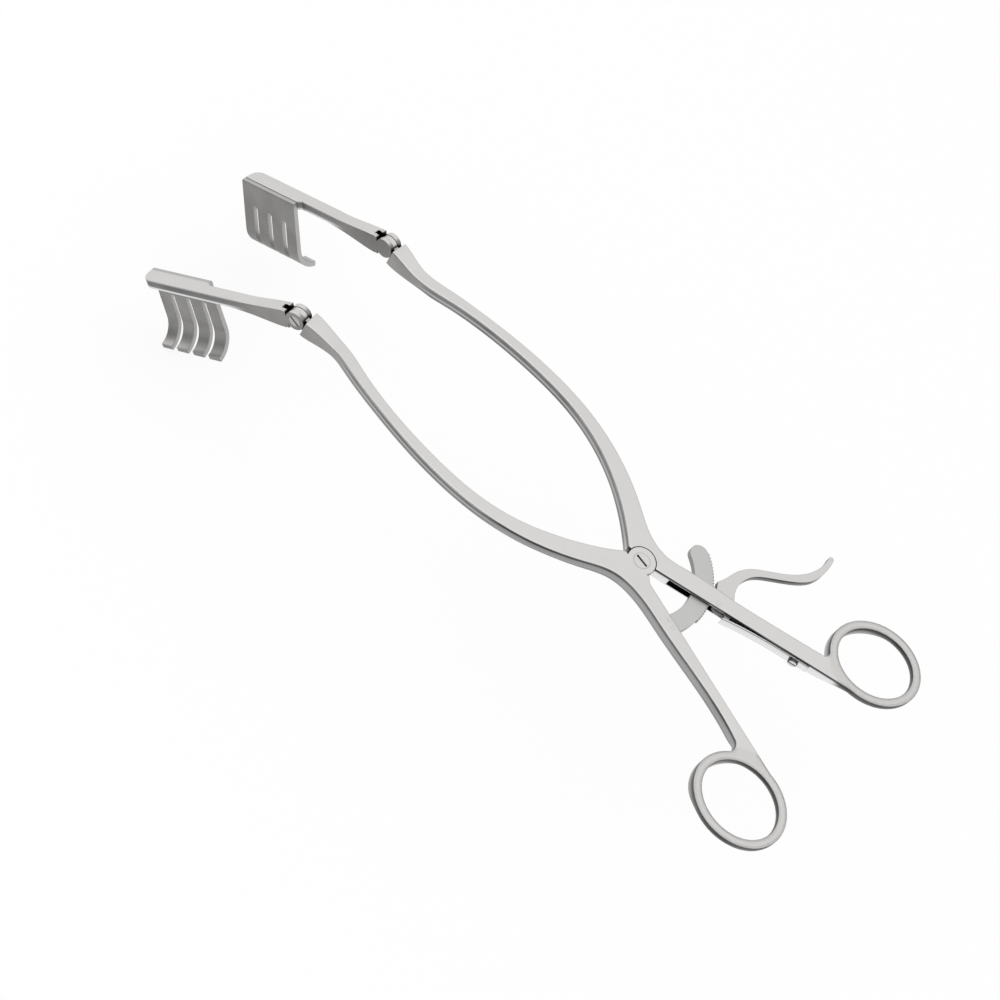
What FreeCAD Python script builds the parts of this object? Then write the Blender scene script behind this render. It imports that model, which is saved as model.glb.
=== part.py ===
import FreeCAD, Part
import math
import os

os.makedirs("parts", exist_ok=True)

# All lengths are millimetres and all angles are degrees.
# Pieces are drawn from the pivot axis at mid thickness, then lifted so that the origin is on
# the pivot axis at the underside of the lap. +X runs to the finger rings, +Y to the right arm
# and +Z up. Ratchet angles are measured about the pivot from +X.
V = FreeCAD.Vector
UP = V(0, 0, 1)
beyond = 150.0
slight = 0.01
rim_length = 10.0

# Frame arms
arm_top = 2.9
handle_bottom = -2.9
top_edge_round = 0.6
low_edge_round = 1.2

# Half-lap pivot
lobe_r = 5.4
lobe_play = 0.3
lap_gap = 0.03
pivot_head_r = 3.1
pivot_head_depth = 1.3
pivot_shank_r = 2.0
pivot_thread_r = 1.7
pivot_slot_length = 5.2
pivot_slot_width = 0.8
pivot_slot_depth = 0.7
pivot_slot_turn = -9.0
running_fit = 0.05

# Finger rings
ring_hole_long_r = 15.1
ring_hole_short_r = 13.15
ring_band = 3.3
ring_bottom = -0.5
ring_merge_round = 12.0
left_ring = (80.2, 43.7, 4.3)
right_ring = (85.0, 39.6, 21.4)
left_ring_step = (63.0, 73.0)
right_ring_step = (69.0, 85.0)
left_neck_round = 3.2
right_neck_round = 2.1

# Blade hinges, in a frame with x along the blade, y towards the wound and z up
hinge_x = -145.0
hinge_y = 25.3
hinge_z = 0.4
hinge_yaw = 5.4
ear_r = 3.75
ear_play = 0.35
tongue_thick = 2.0
tongue_r = 3.6
tongue_top = 2.1
tongue_bottom = -3.4
tongue_embed = 2.4
fork_side_play = 0.05
fork_width = 5.5
fork_root = 5.7
hinge_head_r = 2.3
hinge_head_depth = 0.9
hinge_shank_r = 1.3
hinge_thread_r = 1.1
hinge_slot_width = 0.6
hinge_slot_depth = 0.5
hinge_slot_turn = -60.0
hinge_screw_short = 0.5
left_swing = 37.5
right_swing = 30.0

# Blade arms
blade_root = 3.4
blade_half_width = 2.5
blade_taper_end = 20.0
shelf_start = 42.8
shelf_flare = 1.6
shelf_edge = 3.7
blade_end = 69.7
blade_corner_r = 4.0
blade_top = 2.8
blade_bottom = -0.7
blade_edge_round = 0.4
ear_notch_r = 0.7
ear_notch_x = 4.0
ear_notch_z = 4.1

# Prong plates
plate_thick = 1.9
plate_drop = 0.35
plate_top_round = 0.6
plate_flare = 0.7
plate_lean = 0.5
hook_start = 21.5
hook_r = 9.8
hook_sweep = 82.0
prong_count = 4
prong_pitch = 7.5
prong_gap = 2.4
prong_root = 9.8

# Ratchet rack
rack_outer_r = 28.8
rack_inner_r = 21.2
rack_thick = 2.4
rack_tang_angle = -28.5
tooth_pitch = 2.5
tooth_depth = 0.55
tooth_count = 24
teeth_below_pawl = 12
tooth_flank = 0.25
rack_rivet_r = 0.7
rack_rivet_inset = 2.2
rack_rivet_angle = -25.6

# Release lever with its pawl
pawl_seat_angle = 29.0
pawl_lead = 0.3
pawl_lift = 0.15
pawl_height = 0.95
pawl_back = 3.0
lever_thick = 2.6
lever_play = 0.2
pin_from_seat = (4.711, -4.0625)
lever_pin_r = 0.9
lever_slot_start = 6.4
slot_past_pin = 7.0
lever_tip_bulge = 0.9

# Leaf spring, placed by its distance past the lever's pin along the right handle's inner wall.
# Its free end keeps its reach across the handle from the pin, clear of the lever's tail.
leaf_thick = 0.6
leaf_height = 3.6
leaf_free_end = 3.5
leaf_bend = 16.1
leaf_seat_start = 25.1
leaf_seat_end = 39.1
leaf_reach = 3.4484
leaf_bend_share = 0.2
leaf_screw_at = 33.4
leaf_screw_head_r = 1.9
leaf_screw_head_height = 1.3
leaf_screw_head_round = 0.6
leaf_screw_slot_width = 0.5
leaf_screw_slot_depth = 0.5
leaf_screw_r = 1.0
leaf_screw_depth = 4.5

# Frame arm outlines as (x, distance from the mid-line), from the blade hinge to the rings
outer_edge = [(-146.0, 28.5), (-139.0, 28.0), (-133.0, 27.0), (-127.0, 26.6), (-116.5, 28.6), (-105.0, 30.8),
              (-90.0, 32.9), (-70.0, 34.0), (-52.0, 32.6), (-32.0, 27.0), (-14.0, 17.4)]
inner_edge = [(-146.0, 21.6), (-139.0, 21.2), (-131.0, 21.2), (-124.0, 21.9), (-113.0, 24.7),
              (-95.0, 28.0), (-75.0, 29.3), (-55.0, 28.0), (-38.5, 23.2), (-24.5, 15.7)]
left_outer_handle = [(-4.0, 11.9), (6.0, 11.2), (21.5, 14.8), (45.3, 20.6), (60.7, 25.4), (72.0, 30.9)]
right_outer_handle = [(-4.0, 11.2), (4.5, 9.2), (15.0, 11.6), (33.2, 15.8), (51.5, 20.7), (75.0, 27.4)]
left_inner_crotch = [(-13.5, 7.9), (-6.6, 1.6)]
right_inner_crotch = [(-13.5, 7.3), (-6.9, 0.7)]
left_handle_inner = [(5.6, 2.6), (7.3, 4.4), (85.0, 28.2)]
right_handle_inner = [(5.4, 1.5), (88.6, 24.05)]

# Side view of a frame arm as (x, z): the swollen hinge end, the slim arm and the deeper handle
end_topside = [(-141.4, 4.3), (-138.0, 4.2), (-132.5, 3.3), (-127.0, 2.9)]
end_underside = [(-144.2, -2.8), (-140.5, -3.8), (-136.0, -3.4), (-130.0, -2.4), (-122.0, -2.1)]
slim_to_lap = [(-26.0, -2.1), (-10.0, -2.9)]

# Side view of a blade arm as (x, z) in its hinge frame
blade_topside = [(3.4, 3.7), (8.0, 3.55), (16.0, 3.0), (26.0, 2.8)]
blade_underside = [(3.4, -3.7), (8.0, -3.4), (14.0, -2.5), (22.0, -1.35), (34.0, -0.7)]

# Release lever outline, from its pin
lever_inside = [(-1.0, -1.3), (1.1, -1.6), (3.7, -0.6), (5.1, -1.9), (6.5, -1.3), (6.3, 1.6), (3.9, 5.3),
                (2.7, 7.7)]
lever_outer_side = [(2.7, 7.7), (1.0, 11.1), (0.7, 15.1), (2.3, 20.3), (7.1, 25.5), (13.7, 31.3),
                    (18.7, 37.5), (20.3, 44.1), (19.7, 51.7)]
lever_inner_side = [(17.7, 51.3), (17.7, 44.7), (15.7, 38.9), (11.1, 32.7), (4.1, 26.5), (-1.3, 20.9),
                    (-3.4, 16.1), (-4.5, 11.1), (-5.6, 8.1)]


def polar(radius, angle):
    turn = math.radians(angle)
    return radius * math.cos(turn), radius * math.sin(turn)


def spline(points):
    curve = Part.BSplineCurve()
    curve.interpolate(points)
    return curve.toShape()


def lines(points):
    return [Part.makeLine(a, b) for a, b in zip(points, points[1:])]


def arc(start, middle, end):
    return Part.Arc(start, middle, end).toShape()


def prism(wire, low, high):
    face = Part.Face(wire)
    face.translate(V(0, 0, low))
    return face.extrude(V(0, 0, high - low))


def cross_prism(wire, low, high):
    face = Part.Face(wire)
    face.translate(V(0, low, 0))
    return face.extrude(V(0, high - low, 0))


def cylinder(radius, low, high, centre=(0, 0)):
    return Part.makeCylinder(radius, high - low, V(centre[0], centre[1], low), UP)


def cross_cylinder(radius, low, high, x=0, z=0):
    return Part.makeCylinder(radius, high - low, V(x, low, z), V(0, 1, 0))


def box(low, high):
    return Part.makeBox(high[0] - low[0], high[1] - low[1], high[2] - low[2], V(*low))


def flat(points, side=1):
    return [V(x, side * y, 0) for x, y in points]


def upright(points):
    return [V(x, 0, z) for x, z in points]


def with_round(solid, radius, keep):
    return solid.makeFillet(radius, [edge for edge in solid.Edges if keep(edge.BoundBox)])


# Plan of a frame arm: outer edge, ring end, inner wall of the handle, crotch and inner edge.
def arm_plan(side, outer_handle, handle_inner, crotch, ring):
    outer = flat(outer_edge + outer_handle, side)
    inner = flat(inner_edge + crotch, side)
    wall = flat(handle_inner, side)
    ring_end = [outer[-1]] + flat([ring[:2]], side) + [wall[-1]]
    edges = [spline(outer), spline(inner)] + lines(ring_end) + lines(wall)
    edges += lines([wall[0], inner[-1]]) + lines([inner[0], outer[0]])
    return Part.Wire(Part.__sortEdges__(edges))


def arm_side_view(ring_step):
    top = upright(end_topside)
    swell = upright(end_underside)
    step = upright([(ring_step[0], handle_bottom), (ring_step[1], ring_bottom)])
    rise = Part.BSplineCurve()
    rise.interpolate(Points=step, InitialTangent=V(1, 0, 0), FinalTangent=V(1, 0, 0))
    far = upright([(beyond, ring_bottom), (beyond, arm_top)])
    edges = [spline(swell), spline(top), rise.toShape()] + lines([swell[0], top[0]])
    edges += lines([swell[-1]] + upright(slim_to_lap) + [step[0]]) + lines([step[1]] + far + [top[-1]])
    return cross_prism(Part.Wire(Part.__sortEdges__(edges)), -beyond, beyond)


def is_top_rim(edge_box):
    return edge_box.ZMin > arm_top - slight and edge_box.XLength > rim_length


def is_low_rim(edge_box):
    return edge_box.ZMax < 0 and edge_box.XLength > rim_length


def ring_oval(ring, side, grow):
    turn = math.radians(ring[2] * side)
    along = V(math.cos(turn), math.sin(turn), 0)
    across = V(-math.sin(turn), math.cos(turn), 0)
    middle = V(ring[0], side * ring[1], 0)
    tips = (middle + along * (ring_hole_long_r + grow), middle + across * (ring_hole_short_r + grow))
    return prism(Part.Wire(Part.Ellipse(tips[0], tips[1], middle).toShape()), -beyond, beyond)


# Upright edges where the handle's two sides run into its ring, on the side that faces the pivot line.
def neck_edges(bar, ring, side):
    reach = ring_hole_long_r + ring_band + slight
    found = []
    for edge in bar.Edges:
        place = edge.Vertexes[0].Point
        near = math.hypot(place.x - ring[0], place.y - side * ring[1]) < reach
        if near and edge.BoundBox.ZLength > beyond and side * place.y < ring[1]:
            found.append(edge)
    return sorted(found, key=lambda edge: edge.Vertexes[0].Point.x)


def arm_blank(side, outer_handle, handle_inner, crotch, ring, ring_step, neck_round):
    bar = prism(arm_plan(side, outer_handle, handle_inner, crotch, ring), -beyond, beyond)
    bar = bar.fuse(ring_oval(ring, side, ring_band)).removeSplitter()
    bar = bar.makeFillet(neck_round, [neck_edges(bar, ring, side)[0]])
    bar = bar.makeFillet(ring_merge_round, [neck_edges(bar, ring, side)[-1]])
    bar = bar.cut(ring_oval(ring, side, 0)).common(arm_side_view(ring_step))
    return with_round(with_round(bar, top_edge_round, is_top_rim), low_edge_round, is_low_rim)


def placed(solid, swing, side=1):
    turn = FreeCAD.Rotation(UP, 180 - hinge_yaw).multiply(FreeCAD.Rotation(V(0, 1, 0), swing))
    result = solid.copy()
    result.Placement = FreeCAD.Placement(V(hinge_x, hinge_y, hinge_z), turn).multiply(solid.Placement)
    return result if side > 0 else result.mirror(V(), V(0, 1, 0))


def hinge_tongue():
    half = tongue_thick / 2
    neck = box((-ear_r - ear_play - tongue_embed, -half, tongue_bottom), (0, half, tongue_top))
    tongue = cross_cylinder(tongue_r, -half, half).fuse(neck)
    return tongue.cut(cross_cylinder(hinge_shank_r + running_fit, -half, half))


def with_hinge_end(bar, side):
    room = box((-ear_r - ear_play, -fork_width, -beyond), (beyond, fork_width, beyond))
    return bar.cut(placed(room, 0, side)).fuse(placed(hinge_tongue(), 0, side))


# The left lobe lies above the lap and holds the screw's head, the right one below it and is threaded.
def with_upper_lobe(bar):
    head = pivot_head_r + running_fit
    lobe = cylinder(lobe_r, lap_gap, arm_top).cut(cylinder(pivot_shank_r + running_fit, lap_gap, arm_top))
    lobe = lobe.cut(cylinder(head, arm_top - pivot_head_depth - running_fit, arm_top))
    room = cylinder(lobe_r + lobe_play, handle_bottom, lap_gap)
    return bar.cut(room).cut(cylinder(lobe_r, lap_gap, arm_top)).fuse(lobe)


def with_lower_lobe(bar):
    room = cylinder(lobe_r + lobe_play, -lap_gap, arm_top)
    lobe = cylinder(lobe_r, handle_bottom, -lap_gap)
    return bar.cut(room).fuse(lobe).cut(cylinder(pivot_thread_r, handle_bottom, -lap_gap))


# Screw standing along Z with the top of its head at zero.
def slotted_screw(head, shank, thread_r, length, slot):
    head_r, head_depth = head
    shank_r, grip = shank
    body = cylinder(head_r, -head_depth, 0).fuse(cylinder(shank_r, -head_depth - grip, -head_depth))
    body = body.fuse(cylinder(thread_r, -length, -head_depth - grip))
    slot_length, slot_width, slot_depth = slot
    cut = box((-slot_length / 2, -slot_width / 2, -slot_depth), (slot_length / 2, slot_width / 2, 0))
    return body.cut(cut).removeSplitter()


def pivot_screw():
    grip = arm_top - pivot_head_depth + lap_gap
    screw = slotted_screw((pivot_head_r, pivot_head_depth), (pivot_shank_r, grip), pivot_thread_r,
                          arm_top - handle_bottom, (pivot_slot_length, pivot_slot_width, pivot_slot_depth))
    screw.rotate(V(), UP, pivot_slot_turn)
    screw.translate(V(0, 0, arm_top))
    return screw


# Curved bar with saw teeth outside, steep flanks facing the free end, and a round tip.
def rack_outline():
    valley_r = rack_outer_r - tooth_depth
    first_valley = pawl_seat_angle - tooth_pitch * teeth_below_pawl
    tip_angle = first_valley + tooth_count * tooth_pitch
    teeth = []
    for tooth in range(tooth_count):
        valley = first_valley + tooth * tooth_pitch
        teeth += [V(*polar(valley_r, valley)), V(*polar(rack_outer_r, valley + tooth_flank))]
    teeth.append(V(*polar(valley_r, tip_angle)))
    root = [V(*polar(r, rack_tang_angle)) for r in (rack_inner_r, valley_r)]
    plain = V(*polar(valley_r, (rack_tang_angle + first_valley) / 2))
    tip_r = (valley_r - rack_inner_r) / 2
    tip_turn = math.degrees(tip_r / (rack_inner_r + tip_r))
    tip = V(*polar(rack_inner_r + tip_r, tip_angle + tip_turn))
    inner_tip = V(*polar(rack_inner_r, tip_angle))
    inner_middle = V(*polar(rack_inner_r, (tip_angle + rack_tang_angle) / 2))
    edges = [arc(root[1], plain, teeth[0])] + lines(teeth) + [arc(teeth[-1], tip, inner_tip)]
    return Part.Wire(edges + [arc(inner_tip, inner_middle, root[0])] + lines(root))


def ratchet_rack():
    return prism(rack_outline(), -rack_thick / 2, rack_thick / 2)


def rack_rivets():
    radii = (rack_inner_r + rack_rivet_inset, rack_outer_r - rack_rivet_inset)
    places = [polar(radius, rack_rivet_angle) for radius in radii]
    return Part.makeCompound([cylinder(rack_rivet_r, handle_bottom, arm_top, place) for place in places])


# The lever's pin keeps its place from the seat of the pawl's tooth on the rack.
def lever_pin():
    return V(*polar(rack_outer_r, pawl_seat_angle)) + V(*pin_from_seat)


def handle_run():
    start, end = flat(right_handle_inner)
    return start, (end - start).normalize()


# Point a distance along the right handle's inner wall and a distance off it, into the handle.
def along_handle(along, off):
    start, run = handle_run()
    return start + run * along + UP.cross(run) * off


def past_pin(distance):
    start, run = handle_run()
    return (lever_pin() - start).dot(run) + distance


def lever_slot():
    half = lever_thick / 2 + lever_play
    far_end = past_pin(slot_past_pin)
    corners = [along_handle(lever_slot_start, -beyond), along_handle(far_end, -beyond),
               along_handle(far_end, beyond), along_handle(lever_slot_start, beyond)]
    return prism(Part.makePolygon(corners + corners[:1]), -half, half)


def lever_pin_solid():
    pin = lever_pin()
    return cylinder(lever_pin_r, handle_bottom, arm_top, (pin.x, pin.y))


# Bell-crank outline: the pawl's tooth, the tail on the spring and the curved thumb lever.
def release_lever():
    pawl_r = rack_outer_r + pawl_lift
    pawl_angle = pawl_seat_angle + pawl_lead
    pawl = [V(*polar(pawl_r + pawl_height, pawl_angle)), V(*polar(pawl_r, pawl_angle)),
            V(*polar(pawl_r + pawl_height, pawl_angle - pawl_back))]
    pin = lever_pin()
    inside = [pin + point for point in flat(lever_inside)]
    outer = [pin + point for point in flat(lever_outer_side)]
    inner = [pin + point for point in flat(lever_inner_side)]
    tip = (outer[-1] + inner[0]) / 2 + V(0, lever_tip_bulge, 0)
    edges = lines(pawl + inside) + [spline(outer), arc(outer[-1], tip, inner[0]), spline(inner)]
    edges += lines([inner[-1], pawl[0]])
    half = lever_thick / 2
    hole = cylinder(lever_pin_r + running_fit, -half, half, (pin.x, pin.y))
    return prism(Part.Wire(edges), -half, half).cut(hole)


def leaf_face(off):
    start, run = handle_run()
    pin_off = (lever_pin() - start).dot(UP.cross(run))
    stand_off = leaf_reach - pin_off
    bend = [along_handle(past_pin(leaf_free_end), -stand_off - off),
            along_handle(past_pin(leaf_bend), -leaf_bend_share * stand_off - off),
            along_handle(past_pin(leaf_seat_start), -off)]
    return bend, along_handle(past_pin(leaf_seat_end), -off)


def leaf_spring():
    near, near_end = leaf_face(0)
    far, far_end = leaf_face(leaf_thick)
    edges = [spline(near)] + lines([near[-1], near_end, far_end, far[-1]]) + [spline(far[::-1])]
    strip = prism(Part.Wire(edges + lines([far[0], near[0]])), -leaf_height / 2, leaf_height / 2)
    return strip.cut(at_leaf_screw(cylinder(leaf_screw_r, -leaf_screw_depth, leaf_screw_depth)))


# Turn a solid that stands along Z so that its top points out of the handle's inner wall.
def at_leaf_screw(solid):
    run = handle_run()[1]
    result = solid.copy()
    result.rotate(V(), V(1, 0, 0), 90)
    result.rotate(V(), UP, math.degrees(math.atan2(run.y, run.x)))
    result.translate(along_handle(past_pin(leaf_screw_at), 0))
    return result


def spring_screw():
    top = leaf_thick + leaf_screw_head_height
    head = cylinder(leaf_screw_head_r, leaf_thick, top)
    head = with_round(head, leaf_screw_head_round, lambda edge_box: edge_box.ZMin > top - slight)
    slot = box((-beyond, -leaf_screw_slot_width / 2, top - leaf_screw_slot_depth),
               (beyond, leaf_screw_slot_width / 2, top))
    return at_leaf_screw(head.cut(slot).fuse(cylinder(leaf_screw_r, -leaf_screw_depth, leaf_thick)))


# Plan of a blade arm: forked root, taper, and the wider shelf that carries the prong plate.
def blade_plan():
    root = fork_width / 2
    side = blade_half_width
    corner = V(blade_end - blade_corner_r, -side + blade_corner_r, 0)
    slant = math.cos(math.radians(45)) * blade_corner_r
    rim = flat([(blade_end, corner.y), (blade_end, shelf_edge), (shelf_start, shelf_edge),
                (shelf_start - shelf_flare, side), (blade_taper_end, side), (blade_root, root),
                (blade_root, -root), (blade_taper_end, -side), (corner.x, -side)])
    return Part.Wire(lines(rim) + [arc(rim[-1], corner + V(slant, -slant, 0), rim[0])])


def blade_side_view():
    high = upright(blade_topside)
    low = upright(blade_underside)
    far = upright([(beyond, blade_top), (beyond, blade_bottom)])
    edges = [spline(high), spline(low)] + lines([high[-1]] + far + [low[-1]]) + lines([low[0], high[0]])
    return cross_prism(Part.Wire(Part.__sortEdges__(edges)), -beyond, beyond)


# The ends of a blade's top stay sharp where it meets the fork and where it is cut off straight.
def is_blade_rim(edge_box):
    return (edge_box.ZMin > blade_top - slight and edge_box.XLength > blade_half_width
            and edge_box.YLength < fork_width)


def blade_arm():
    half = fork_width / 2
    bar = prism(blade_plan(), -beyond, beyond).common(blade_side_view())
    bar = with_round(bar, blade_edge_round, is_blade_rim)
    bar = bar.fuse(cross_cylinder(ear_r, -half, half))
    for z in (ear_notch_z, -ear_notch_z):
        bar = bar.cut(cross_cylinder(ear_notch_r, -half, half, ear_notch_x, z))
    gap = tongue_thick / 2 + fork_side_play
    bar = bar.cut(box((-beyond, -gap, -beyond), (fork_root, gap, beyond)))
    bar = bar.cut(cross_cylinder(hinge_thread_r, -half, half - hinge_screw_short))
    bar = bar.cut(cross_cylinder(hinge_shank_r, -half, -gap))
    return bar.cut(cross_cylinder(hinge_head_r, -half, -half + hinge_head_depth))


def hinge_screw():
    grip = fork_width / 2 - hinge_head_depth + tongue_thick / 2 + fork_side_play
    screw = slotted_screw((hinge_head_r, hinge_head_depth), (hinge_shank_r, grip), hinge_thread_r,
                          fork_width - hinge_screw_short,
                          (2 * hinge_head_r, hinge_slot_width, hinge_slot_depth))
    screw.rotate(V(), V(1, 0, 0), 90)
    screw.rotate(V(), V(0, 1, 0), hinge_slot_turn)
    screw.translate(V(0, -fork_width / 2, 0))
    return screw


# One face of the plate in its (y, z) section: a leaning line and the hook's arc, ending outwards.
def plate_face(off):
    lean = math.radians(plate_lean)
    down = V(0, math.sin(lean), -math.cos(lean))
    out = V(0, -math.cos(lean), -math.sin(lean))
    start = V(0, shelf_edge + plate_thick, blade_top - plate_drop)
    bend = start + down * (hook_start - plate_drop)
    centre = bend + out * hook_r
    hook = []
    for share in (0, 0.5, 1):
        turn = math.radians(hook_sweep * share)
        hook.append(centre + (down * math.sin(turn) - out * math.cos(turn)) * (hook_r - off))
    return start + out * off, hook


# The plate's side towards the hinge runs out a little from its top to its prongs.
def plate_outline():
    low = blade_top - hook_start - hook_r - plate_thick
    corners = upright([(shelf_start, blade_top), (blade_end, blade_top), (blade_end, low),
                       (shelf_start - plate_flare, low)])
    return cross_prism(Part.makePolygon(corners + corners[:1]), -beyond, beyond)


def prong_plate():
    inner_top, inner_hook = plate_face(0)
    outer_top, outer_hook = plate_face(plate_thick)
    edges = [arc(*inner_hook), arc(*outer_hook)] + lines([inner_hook[-1], outer_hook[-1]])
    edges += lines([outer_hook[0], outer_top, inner_top, inner_hook[0]])
    plate = Part.Face(Part.Wire(Part.__sortEdges__(edges))).extrude(V(blade_end, 0, 0))
    plate = with_round(plate, plate_top_round, is_plate_rim).common(plate_outline())
    middle = (shelf_start + blade_end) / 2
    root_z = blade_top - prong_root - prong_gap / 2
    for number in range(1, prong_count):
        x = middle + (number - prong_count / 2) * prong_pitch
        plate = plate.cut(box((x - prong_gap / 2, -beyond, -beyond), (x + prong_gap / 2, beyond, root_z)))
        plate = plate.cut(cross_cylinder(prong_gap / 2, -beyond, beyond, x, root_z))
    return plate


def is_plate_rim(edge_box):
    face = shelf_edge + plate_thick - slight
    return edge_box.YMin > face and edge_box.ZMin > blade_top - plate_drop - slight


def left_frame_arm():
    bar = arm_blank(-1, left_outer_handle, left_handle_inner, left_inner_crotch,
                    left_ring, left_ring_step, left_neck_round)
    bar = with_upper_lobe(with_hinge_end(bar, -1))
    return bar.cut(ratchet_rack()).cut(rack_rivets())


def right_frame_arm():
    bar = arm_blank(1, right_outer_handle, right_handle_inner, right_inner_crotch,
                    right_ring, right_ring_step, right_neck_round)
    bar = with_lower_lobe(with_hinge_end(bar, 1)).cut(lever_slot()).cut(lever_pin_solid())
    return bar.cut(at_leaf_screw(cylinder(leaf_screw_r, -leaf_screw_depth, 0)))


def blade_pieces(name, swing, side):
    return {
        name + "_blade_arm": placed(blade_arm(), swing, side),
        name + "_prong_plate": placed(prong_plate(), swing, side),
        name + "_hinge_screw": placed(hinge_screw(), swing, side),
    }


pieces = {
    "left_frame_arm": left_frame_arm(),
    "right_frame_arm": right_frame_arm(),
    "pivot_screw": pivot_screw(),
    "ratchet_rack": ratchet_rack().cut(rack_rivets()),
    "rack_rivets": rack_rivets(),
    "release_lever": release_lever(),
    "lever_pin": lever_pin_solid(),
    "leaf_spring": leaf_spring(),
    "spring_screw": spring_screw(),
}
pieces.update(blade_pieces("left", left_swing, -1))
pieces.update(blade_pieces("right", right_swing, 1))
for name, shape in pieces.items():
    shape.translate(V(0, 0, -handle_bottom))
    shape.exportStep("parts/%s.step" % name)
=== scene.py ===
import bpy
import bmesh
from math import atan2, degrees, pi, radians, sin
from mathutils import Matrix, Vector


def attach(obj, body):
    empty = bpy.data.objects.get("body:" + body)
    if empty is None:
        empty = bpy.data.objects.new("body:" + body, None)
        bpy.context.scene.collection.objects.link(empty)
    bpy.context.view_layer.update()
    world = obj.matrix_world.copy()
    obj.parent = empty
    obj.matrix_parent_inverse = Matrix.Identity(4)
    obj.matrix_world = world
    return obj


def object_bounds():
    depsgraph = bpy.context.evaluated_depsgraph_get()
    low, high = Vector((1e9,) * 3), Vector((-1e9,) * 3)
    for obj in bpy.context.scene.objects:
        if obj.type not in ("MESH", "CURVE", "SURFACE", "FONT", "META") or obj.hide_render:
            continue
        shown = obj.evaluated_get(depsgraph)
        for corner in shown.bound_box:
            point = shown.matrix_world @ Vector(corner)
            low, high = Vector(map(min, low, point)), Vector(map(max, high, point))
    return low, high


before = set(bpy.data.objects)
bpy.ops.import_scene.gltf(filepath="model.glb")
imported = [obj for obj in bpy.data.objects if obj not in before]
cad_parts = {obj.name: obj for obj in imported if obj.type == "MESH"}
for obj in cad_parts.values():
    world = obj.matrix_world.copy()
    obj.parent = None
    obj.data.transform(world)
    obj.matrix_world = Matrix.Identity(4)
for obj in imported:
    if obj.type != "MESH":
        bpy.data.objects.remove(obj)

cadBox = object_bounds()
mm = 0.001
black = (0.0, 0.0, 0.0)
white = (1.0, 1.0, 1.0)
print("frame loaded:", len(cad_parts), "nodes")


# small helpers for nodes, materials and objects
def feed(tree, socket, value):
    # another socket is linked to it, and a plain value is set on it
    if isinstance(value, bpy.types.NodeSocket):
        tree.links.new(value, socket)
    else:
        socket.default_value = value


def addNode(tree, kind, place=(0, 0), **settings):
    node = tree.nodes.new(kind)
    node.location = place
    for name, value in settings.items():
        setattr(node, name, value)
    return node


def newGroup(name, inputs, outputs):
    # a tuple asks for a vector socket and a number for a plain one
    group = bpy.data.node_groups.new(name, "ShaderNodeTree")
    for way, sockets in (("INPUT", inputs), ("OUTPUT", outputs)):
        for label, value in sockets.items():
            kind = "NodeSocketVector" if isinstance(value, tuple) else "NodeSocketFloat"
            socket = group.interface.new_socket(name=label, in_out=way, socket_type=kind)
            socket.default_value = value
    entry = addNode(group, "NodeGroupInput", (-900, 0))
    leave = addNode(group, "NodeGroupOutput", (900, 0))
    return group, entry.outputs, leave.inputs


def useGroup(tree, group, values, place=(0, 0)):
    node = addNode(tree, "ShaderNodeGroup", place, node_tree=group)
    for label, value in values.items():
        feed(tree, node.inputs[label], value)
    return node.outputs


def mathNode(tree, operation, first, second=None, place=(0, 0), third=None, clamp=False):
    node = addNode(tree, "ShaderNodeMath", place, operation=operation, use_clamp=clamp)
    for socket, value in zip(node.inputs, (first, second, third)):
        if value is not None:
            feed(tree, socket, value)
    return node.outputs[0]


def vectorNode(tree, operation, first, second=None, place=(0, 0), third=None):
    node = addNode(tree, "ShaderNodeVectorMath", place, operation=operation)
    secondSocket = "Scale" if operation == "SCALE" else 1
    for key, value in ((0, first), (secondSocket, second), (2, third)):
        if value is not None:
            feed(tree, node.inputs[key], value)
    return node.outputs["Value" if operation in ("DOT_PRODUCT", "LENGTH") else "Vector"]


def axesOf(tree, vector, place=(0, 0)):
    # the X, Y and Z of a vector
    node = addNode(tree, "ShaderNodeSeparateXYZ", place)
    feed(tree, node.inputs[0], vector)
    return node.outputs


def mapRange(tree, value, fromMin, fromMax, toMin=0.0, toMax=1.0, place=(0, 0), kind="SMOOTHSTEP"):
    node = addNode(tree, "ShaderNodeMapRange", place, clamp=True, interpolation_type=kind)
    values = {"Value": value, "From Min": fromMin, "From Max": fromMax, "To Min": toMin, "To Max": toMax}
    for label, number in values.items():
        feed(tree, node.inputs[label], number)
    return node.outputs["Result"]


def noiseNode(tree, vector, scale, detail=2.0, rough=0.5, place=(0, 0), output="Fac"):
    node = addNode(tree, "ShaderNodeTexNoise", place)
    values = {"Vector": vector, "Scale": scale, "Detail": detail, "Roughness": rough}
    for label, value in values.items():
        feed(tree, node.inputs[label], value)
    return node.outputs[output]


def mixColour(tree, factor, first, second, place=(0, 0)):
    node = addNode(tree, "ShaderNodeMix", place, data_type="RGBA")
    feed(tree, node.inputs["Factor"], factor)
    for label, value in (("A", first), ("B", second)):
        socket = next(s for s in node.inputs if s.name == label and s.type == "RGBA")
        feed(tree, socket, (*value, 1.0) if isinstance(value, tuple) else value)
    return next(s for s in node.outputs if s.type == "RGBA")


def newMaterial(name):
    material = bpy.data.materials.new(name)
    material.use_nodes = True
    return material, material.node_tree


def addObject(name, data):
    thing = bpy.data.objects.new(name, data)
    bpy.context.scene.collection.objects.link(thing)
    return thing


def addShape(name, shape):
    # a bmesh as an object of its own
    mesh = bpy.data.meshes.new(name)
    shape.to_mesh(mesh)
    shape.free()
    return addObject(name, mesh)


# shared surface effects, as groups that give masks, heights, tones and normals
grainPattern = {"coarseScale": 0.27, "coarseShare": 0.45, "driftScale": 0.06}


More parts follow.
